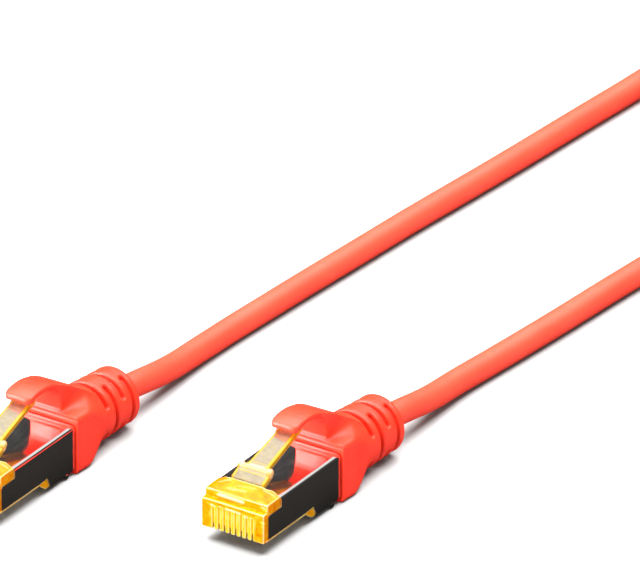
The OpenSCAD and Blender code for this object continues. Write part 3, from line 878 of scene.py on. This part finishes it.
# nose: the pale cream edge colour is a painted highlight, the last colour is the painted light in the slots
M_PLASTIC = quiet_bounce(plastic(
    "plug_plastic", [(0.3, (0.88, 0.18, 0.0)), (0.45, (1.0, 0.34, 0.002)), (0.57, (1.0, 0.38, 0.003)), (0.66, (1.0, 0.5, 0.02)), (0.74, (1.0, 0.72, 0.16))],
    (1.0, 0.87, 0.5), 0.42, 160, 1.5, (0.12, 0.11, 0.1), (1.0, 0.54, 0.008)), (0.42, 0.37, 0.3))
# latch: the deep yellow edge colour is painted along edges and sides for light running through more plastic, the last
# colour is a painted highlight on the knobs and bar
M_LATCH = quiet_bounce(plastic(
    "latch_plastic", [(0.35, (0.32, 0.27, 0.17)), (0.65, (0.4, 0.34, 0.23))], (1.0, 0.52, 0.012), 0.66, 380, 0.9, (0.12, 0.11, 0.1), (1.0, 0.9, 0.62)), (0.36, 0.32, 0.26))
for m in (M_PLASTIC, M_LATCH):
    bsdf(m).inputs["Subsurface Weight"].default_value = 0.5
    bsdf(m).inputs["Subsurface Radius"].default_value = (1.0, 0.6, 0.1)
    bsdf(m).inputs["Subsurface Scale"].default_value = 0.0015
bsdf(M_PLASTIC).inputs["Coat Weight"].default_value = 0.15
bsdf(M_PLASTIC).inputs["Specular Tint"].default_value = (1.0, 0.82, 0.25, 1)
M_SHIELD = metal("nickel_shield", (0.9, 0.87, 0.84), (0.84, 0.81, 0.785), 0.08, 1.0, (0.25, 1, 1))
M_GOLD = metal("gold_contact", (1.0, 0.78, 0.3), (0.95, 0.66, 0.2), 0.24, 2.0)
bsdf(M_GOLD).inputs["Metallic"].default_value = 0.55
M_CRIMP = metal("crimp_metal", (0.78, 0.76, 0.74), (0.62, 0.6, 0.58), 0.24, 2.0)


def guide():
    m = soft_plastic("guide_plastic", (0.72, 0.73, 0.7), (0.85, 0.86, 0.82), 0.38, 8)
    return m


def wires():
    """Eight colours, one for each conductor by its place across the plug, every second one a solid pale, whitish tint.
    """
    m = material("wire_insulation", (0.3, 0.4, 0.7), 0.35)
    t = nd(m, "TexCoord")
    sep = nd(m, "SeparateXYZ")
    wire(m, t.outputs["Object"], sep.inputs[0])
    # both plugs repeat the same order about their own middle line
    parts = []
    for oy in (ENDS["a"][1], ENDS["b"][1]):
        parts.append(maprange(m, sep.outputs["Y"], (oy - 4.08) * MM, (oy + 4.08) * MM, 0.0, 1.0))
    side = nd(m, "Math", operation="GREATER_THAN")
    side.inputs[1].default_value = 0.0
    wire(m, sep.outputs["Y"], side.inputs[0])
    pick = nd(m, "Mix", data_type="FLOAT")
    wire(m, side.outputs[0], pick.inputs[0])
    wire(m, parts[0], pick.inputs[2])
    wire(m, parts[1], pick.inputs[3])
    orange, green, blue, brown = (0.85, 0.25, 0.03), (0.03, 0.4, 0.1), (0.04, 0.14, 0.6), (0.2, 0.08, 0.03)
    pale = lambda c: tuple(0.72 + 0.2 * v for v in c)
    order = [pale(orange), orange, pale(green), blue, pale(blue), green, pale(brown), brown]
    r = nd(m, "ValToRGB")
    r.color_ramp.interpolation = "CONSTANT"
    el = r.color_ramp.elements
    while len(el) < 8:
        el.new(0.5)
    for i, e in enumerate(el):
        e.position = i / 8
        e.color = (*order[i], 1)
    wire(m, pick.outputs[0], r.inputs["Fac"])
    n = noise(m, coords(m), 2.0, 3)
    mx = nd(m, "Mix", data_type="RGBA", blend_type="MULTIPLY")
    mx.inputs[0].default_value = 1.0
    wire(m, r.outputs["Color"], mx.inputs[6])
    wire(m, ramp(m, n, [(0.3, (0.85, 0.85, 0.85)), (0.7, (1, 1, 1))]), mx.inputs[7])
    wire(m, mx.outputs[2], bsdf(m).inputs["Base Color"])
    wire(m, bump(m, noise(m, coords(m), 6, 2), 0.2, 0.01), bsdf(m).inputs["Normal"])
    return m


def foil():
    m = material("pair_foil", (0.86, 0.87, 0.9), 0.22, 1.0)
    b = bsdf(m)
    v = coords(m, (0.6, 1.0, 1.0))
    vor = nd(m, "TexVoronoi", feature="F1", in_Scale=1.6)
    wire(m, v, vor.inputs["Vector"])
    wire(m, ramp(m, noise(m, v, 0.8, 3), [(0.3, (0.72, 0.73, 0.78)), (0.7, (0.92, 0.92, 0.95))]), b.inputs["Base Color"])
    wire(m, bump(m, vor.outputs["Distance"], 0.6, 0.06), b.inputs["Normal"])
    wire(m, maprange(m, noise(m, v, 2.2, 3), 0.3, 0.7, 0.16, 0.34), b.inputs["Roughness"])
    return m


def woven_wire():
    """Two sets of slanted strands that cross."""
    m = material("braid_wire", (0.7, 0.62, 0.55), 0.3, 1.0)
    b = bsdf(m)
    heights = []
    for rz in (0.9, -0.9):
        t = nd(m, "TexCoord")
        mp = nd(m, "Mapping")
        mp.inputs["Scale"].default_value = (1000, 1000, 1000)
        mp.inputs["Rotation"].default_value = (0.6, 0, rz)
        wire(m, t.outputs["Object"], mp.inputs["Vector"])
        w = nd(m, "TexWave", wave_type="BANDS", in_Scale=1.5, in_Distortion=0.3)
        wire(m, mp.outputs["Vector"], w.inputs["Vector"])
        heights.append(w.outputs["Fac"])
    mx = nd(m, "Math", operation="MAXIMUM")
    wire(m, heights[0], mx.inputs[0])
    wire(m, heights[1], mx.inputs[1])
    wire(m, ramp(m, mx.outputs[0], [(0.2, (0.28, 0.22, 0.18)), (0.9, (0.86, 0.8, 0.74))]), b.inputs["Base Color"])
    wire(m, bump(m, mx.outputs[0], 0.8, 0.12), b.inputs["Normal"])
    return m


def tie_plastic():
    m = soft_plastic("tie_nylon", (0.018, 0.018, 0.02), (0.03, 0.03, 0.033), 0.38, 5)
    bsdf(m).inputs["Subsurface Weight"].default_value = 0.0
    return m


M_GUIDE, M_WIRE, M_FOIL, M_BRAID, M_TIE = guide(), wires(), foil(), woven_wire(), tie_plastic()
SLOTS = {"contacts": M_GOLD, "load_bar": M_GUIDE, "conductors": M_WIRE, "pair_foils": M_FOIL, "braid": M_BRAID,
         "crimp_collar": M_CRIMP, "jacket_end": M_JACKET}
for name, ob in nodes.items():
    for stem, m in SLOTS.items():
        if name == stem or name[:-2] == stem:
            ob.data.materials.clear()
            ob.data.materials.append(m)

ob = mesh_from("ratchet_tie", (TIE_P + TIE_O) * MM, TIE_Q)
ob.data.materials.append(M_TIE)
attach(ob, ROOT)
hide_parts("cable_tie")

for end in "ab":
    ob = mesh_from("plug_nose_" + end, at_end(HOUSING_P, end), HOUSING_Q)
    # the nose carries its painted highlights, painted light and painted shade as point attributes
    add_float(ob, "edge", HOUSING_PAINTED_HIGHLIGHT)
    add_float(ob, "painted_light", HOUSING_PAINTED_LIGHT_AND_SHADE)
    ob.data.materials.append(M_PLASTIC)
    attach(ob, ROOT)
    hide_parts("plug_housing_" + end)
    ob = mesh_from("snap_latch_" + end, at_end(LATCH_P, end), LATCH_Q)
    # the latch carries its painted edges and painted highlight as point attributes
    add_float(ob, "edge", LATCH_PAINTED_EDGES)
    add_float(ob, "painted_light", LATCH_PAINTED_HIGHLIGHT)
    ob.data.materials.append(M_LATCH)
    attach(ob, "latch_" + end)
    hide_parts("plug_latch_" + end)
    ob = build_shield(end)
    ob.data.materials.clear()
    ob.data.materials.append(M_SHIELD)
    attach(ob, ROOT)
    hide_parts("shield_" + end)

# ---------------------------------------------------------------- floor and light
fl = mesh_from("floor", [(-2, -2, 0), (2, -2, 0), (2, 2, 0), (-2, 2, 0)], [(0, 1, 2, 3)], False)
M_FLOOR = material("floor", (0.8, 0.8, 0.8), 0.9)
bsdf(M_FLOOR).inputs["Specular IOR Level"].default_value = 0.0
t = M_FLOOR.node_tree
lp = t.nodes.new("ShaderNodeLightPath")
darkb = t.nodes.new("ShaderNodeBsdfDiffuse")
darkb.inputs["Color"].default_value = (0.0145, 0.0135, 0.0127, 1)
mx = t.nodes.new("ShaderNodeMixShader")
dimb = t.nodes.new("ShaderNodeBsdfDiffuse")
dimb.inputs["Color"].default_value = (0.55, 0.55, 0.55, 1)
mx0 = t.nodes.new("ShaderNodeMixShader")
t.links.new(lp.outputs["Is Diffuse Ray"], mx0.inputs[0])
t.links.new(bsdf(M_FLOOR).outputs[0], mx0.inputs[1])
t.links.new(dimb.outputs[0], mx0.inputs[2])
t.links.new(lp.outputs["Is Glossy Ray"], mx.inputs[0])
t.links.new(mx0.outputs[0], mx.inputs[1])
t.links.new(darkb.outputs[0], mx.inputs[2])
t.links.new(mx.outputs[0], t.nodes["Material Output"].inputs["Surface"])
fl.data.materials.append(M_FLOOR)

world = bpy.data.worlds.new("world")
bpy.context.scene.world = world
world.use_nodes = True
t = world.node_tree
bg = t.nodes["Background"]
bg.inputs["Color"].default_value = (1, 1, 1, 1)
tc = t.nodes.new("ShaderNodeTexCoord")
sep = t.nodes.new("ShaderNodeSeparateXYZ")
t.links.new(tc.outputs["Generated"], sep.inputs[0])


def climb(a, b, c, d):
    mr = t.nodes.new("ShaderNodeMapRange")
    mr.interpolation_type = "SMOOTHSTEP"
    for i, v in zip(("From Min", "From Max", "To Min", "To Max"), (a, b, c, d)):
        mr.inputs[i].default_value = v
    t.links.new(sep.outputs["Z"], mr.inputs["Value"])
    return mr.outputs["Result"]


add = t.nodes.new("ShaderNodeMath")
t.links.new(climb(0.49, 0.56, 0.055, 0.9), add.inputs[0])
t.links.new(climb(0.68, 0.8, 0.0, 1.3), add.inputs[1])
lp = t.nodes.new("ShaderNodeLightPath")
mxv = t.nodes.new("ShaderNodeMix")
mxv.data_type = "FLOAT"
mxv.inputs[2].default_value = 0.22
t.links.new(lp.outputs["Is Glossy Ray"], mxv.inputs[0])
zenith = t.nodes.new("ShaderNodeMath")
zenith.operation = "MULTIPLY"
t.links.new(add.outputs[0], zenith.inputs[0])
t.links.new(climb(0.93, 0.99, 1.0, 0.3), zenith.inputs[1])
t.links.new(zenith.outputs[0], mxv.inputs[3])
seen = t.nodes.new("ShaderNodeMath")
seen.operation = "MAXIMUM"
t.links.new(mxv.outputs[0], seen.inputs[0])
t.links.new(lp.outputs["Is Camera Ray"], seen.inputs[1])
t.links.new(seen.outputs[0], bg.inputs["Strength"])

subject = bpy.data.collections.new("subject")
rubber = bpy.data.collections.new("rubber")
for ob in bpy.context.scene.objects:
    if ob.type in ("MESH", "CURVE") and ob is not fl:
        subject.objects.link(ob)
        if ob.name.startswith(("boot", "cord")):
            rubber.objects.link(ob)


def area(name, where, at, size, power, only=None):
    ld = bpy.data.lights.new(name, "AREA")
    ld.shape = "DISK"
    ld.size = size
    ld.energy = power
    ob = link(bpy.data.objects.new(name, ld))
    ob.location = where
    ob.rotation_mode = "QUATERNION"
    ob.rotation_quaternion = (Vector(at) - Vector(where)).to_track_quat("-Z", "Y")
    if only:
        ob.light_linking.receiver_collection = only
    return ob


area("key", (0.26, 0.16, 1.4), (0.05, 0, 0), 2.1, 74).visible_glossy = False
area("key_fill", (0.06, 0.1, 1.4), (0.05, 0, 0), 1.7, 42, subject).visible_glossy = False
area("front", (-1.1, 0.15, 0.3), (0.0, 0, 0), 0.6, 26, subject).visible_glossy = False
area("front_rubber", (-0.85, 0.8, 0.35), (0.0, 0, 0), 0.9, 44, rubber)
area("side", (0.0, -1.2, 0.5), (0.05, 0, 0), 0.6, 5.2, subject).visible_glossy = False
